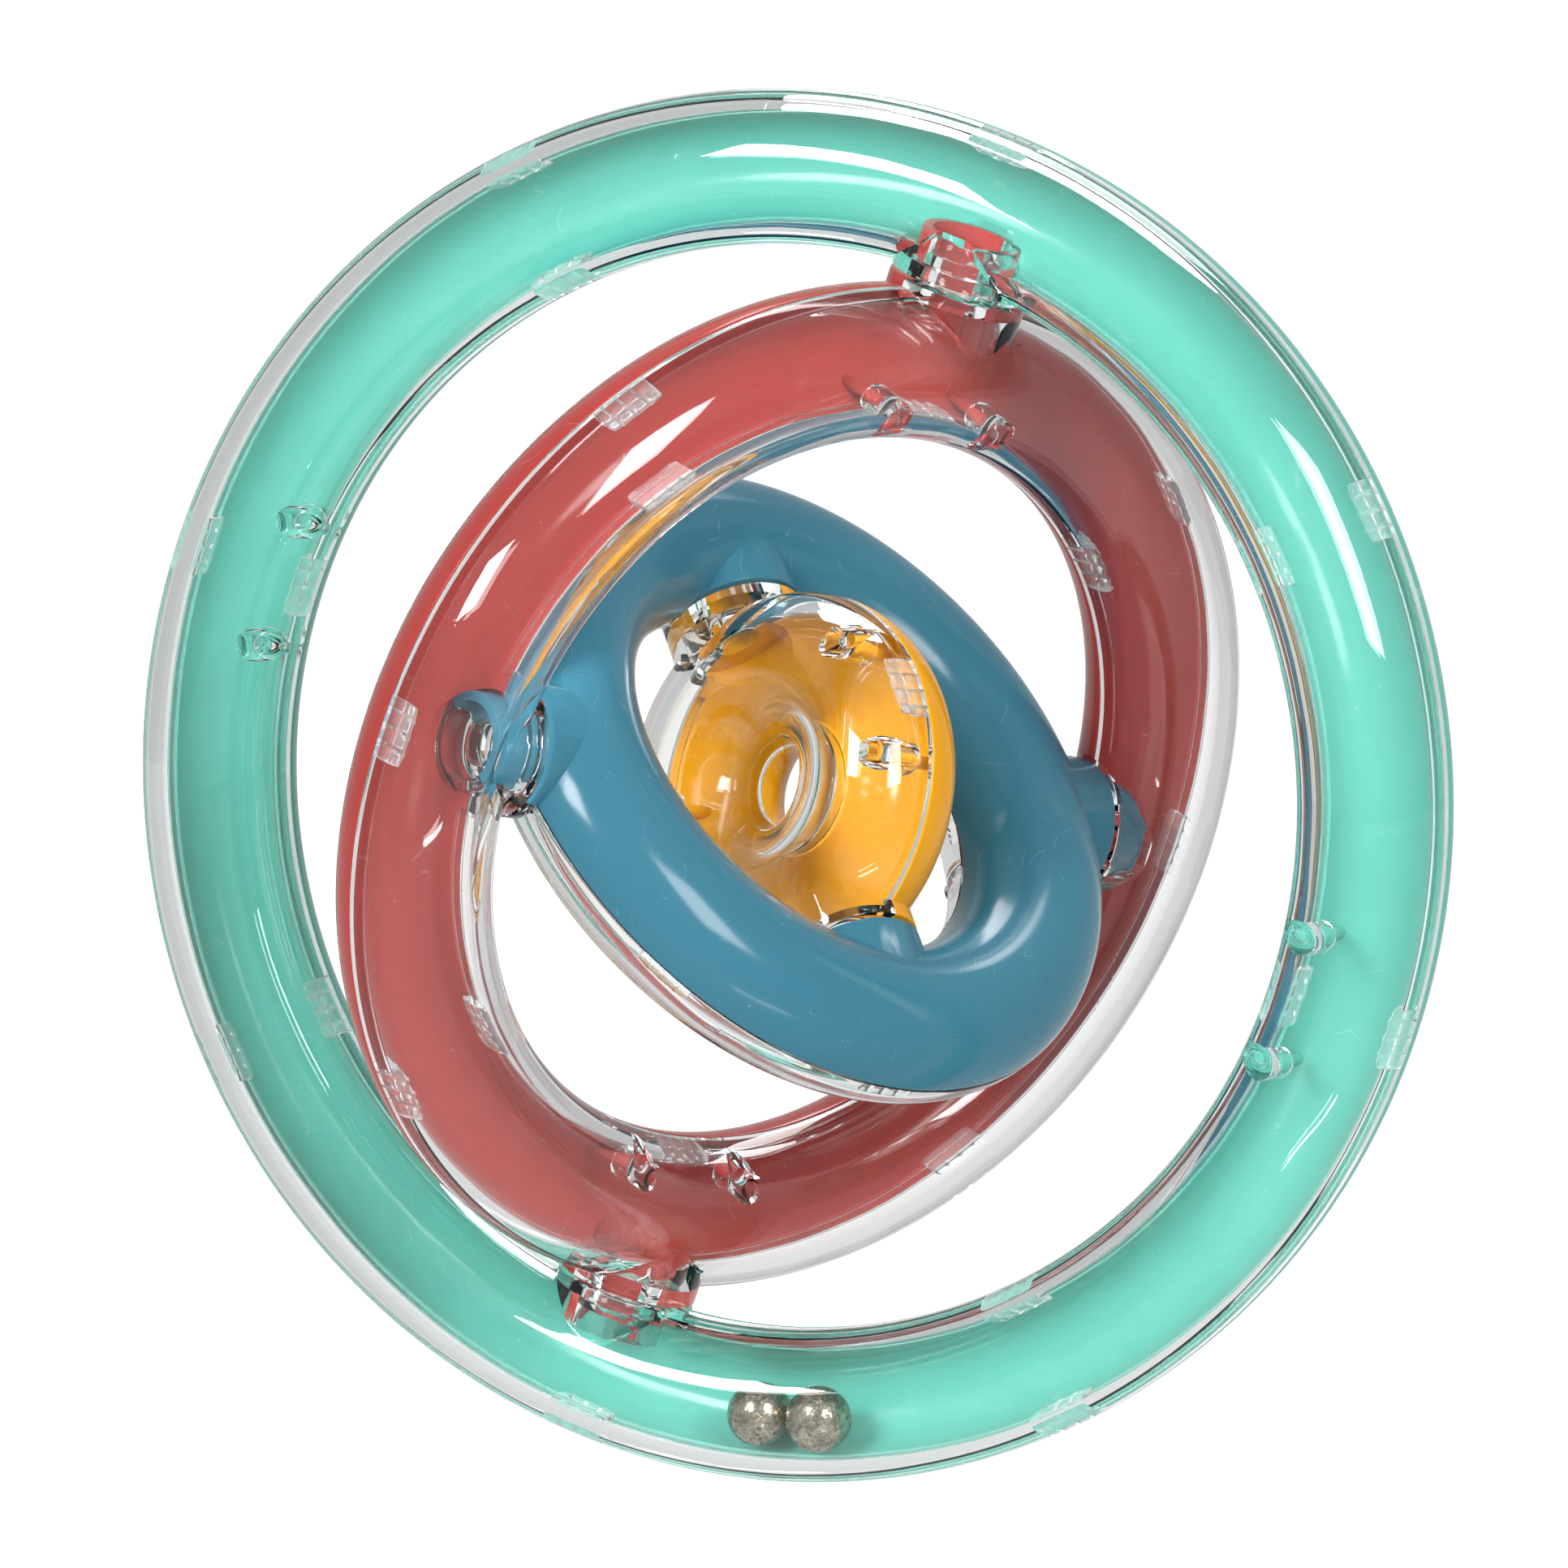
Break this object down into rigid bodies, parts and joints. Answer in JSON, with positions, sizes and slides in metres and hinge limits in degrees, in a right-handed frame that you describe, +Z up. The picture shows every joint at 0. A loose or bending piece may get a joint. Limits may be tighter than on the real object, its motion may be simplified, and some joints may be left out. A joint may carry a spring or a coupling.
{
  "type": "baby rattle",
  "caption": "Gyroscope rattle of nested hollow half-clear, half-coloured plastic rings on crossed pivots, with loose steel balls that roll in the outer ring.",
  "frame": {"origin": "common centre of all the rings, where every pivot axis crosses", "axes": "outer ring lies in the XZ plane; -Y is its clear side, which faces the viewer; +Z is up; all rings are stored as turned at rest"},
  "size_m": [0.125, 0.0838, 0.125],
  "materials": {
    "mint_plastic": "glossy, opaque",
    "clear_plastic": "glossy, transparent",
    "red_plastic": "glossy, opaque",
    "blue_plastic": "glossy, opaque",
    "yellow_plastic": "glossy, opaque",
    "steel": "polished, slightly worn"
  },
  "bodies": {
    "outer_ring": {"outer_ring_colour_shell": "mint_plastic", "outer_ring_clear_shell": "clear_plastic"},
    "middle_ring": {"middle_ring_colour_shell": "red_plastic", "middle_ring_clear_shell": "clear_plastic"},
    "inner_ring": {"inner_ring_colour_shell": "blue_plastic", "inner_ring_clear_shell": "clear_plastic"},
    "centre_disc": {"centre_disc_colour_shell": "yellow_plastic", "centre_disc_clear_shell": "clear_plastic"},
    "ball_1": {"steel_ball_1": "steel"},
    "ball_2": {"steel_ball_2": "steel"}
  },
  "joints": [
    {"name": "middle_ring_pivot", "type": "hinge", "parent": "outer_ring", "child": "middle_ring", "pos_m": [0, 0, 0], "axis": [0.3322, 0, 0.9432], "continuous": true},
    {"name": "inner_ring_pivot", "type": "hinge", "parent": "middle_ring", "child": "inner_ring", "pos_m": [0, 0, 0], "axis": [-0.4773, -0.8625, 0.1681], "continuous": true},
    {"name": "centre_disc_pivot", "type": "hinge", "parent": "inner_ring", "child": "centre_disc", "pos_m": [0, 0, 0], "axis": [-0.4772, 0.415, 0.7746], "continuous": true},
    {"name": "ball_1_roll", "type": "hinge", "parent": "outer_ring", "child": "ball_1", "pos_m": [0, 0, 0], "axis": [0, -1, 0], "continuous": true},
    {"name": "ball_2_roll", "type": "hinge", "parent": "outer_ring", "child": "ball_2", "pos_m": [0, 0, 0], "axis": [0, -1, 0], "continuous": true}
  ],
  "couplings": [
    {"joint": "ball_2_roll", "follows": "ball_1_roll", "ratio": 1}
  ]
}
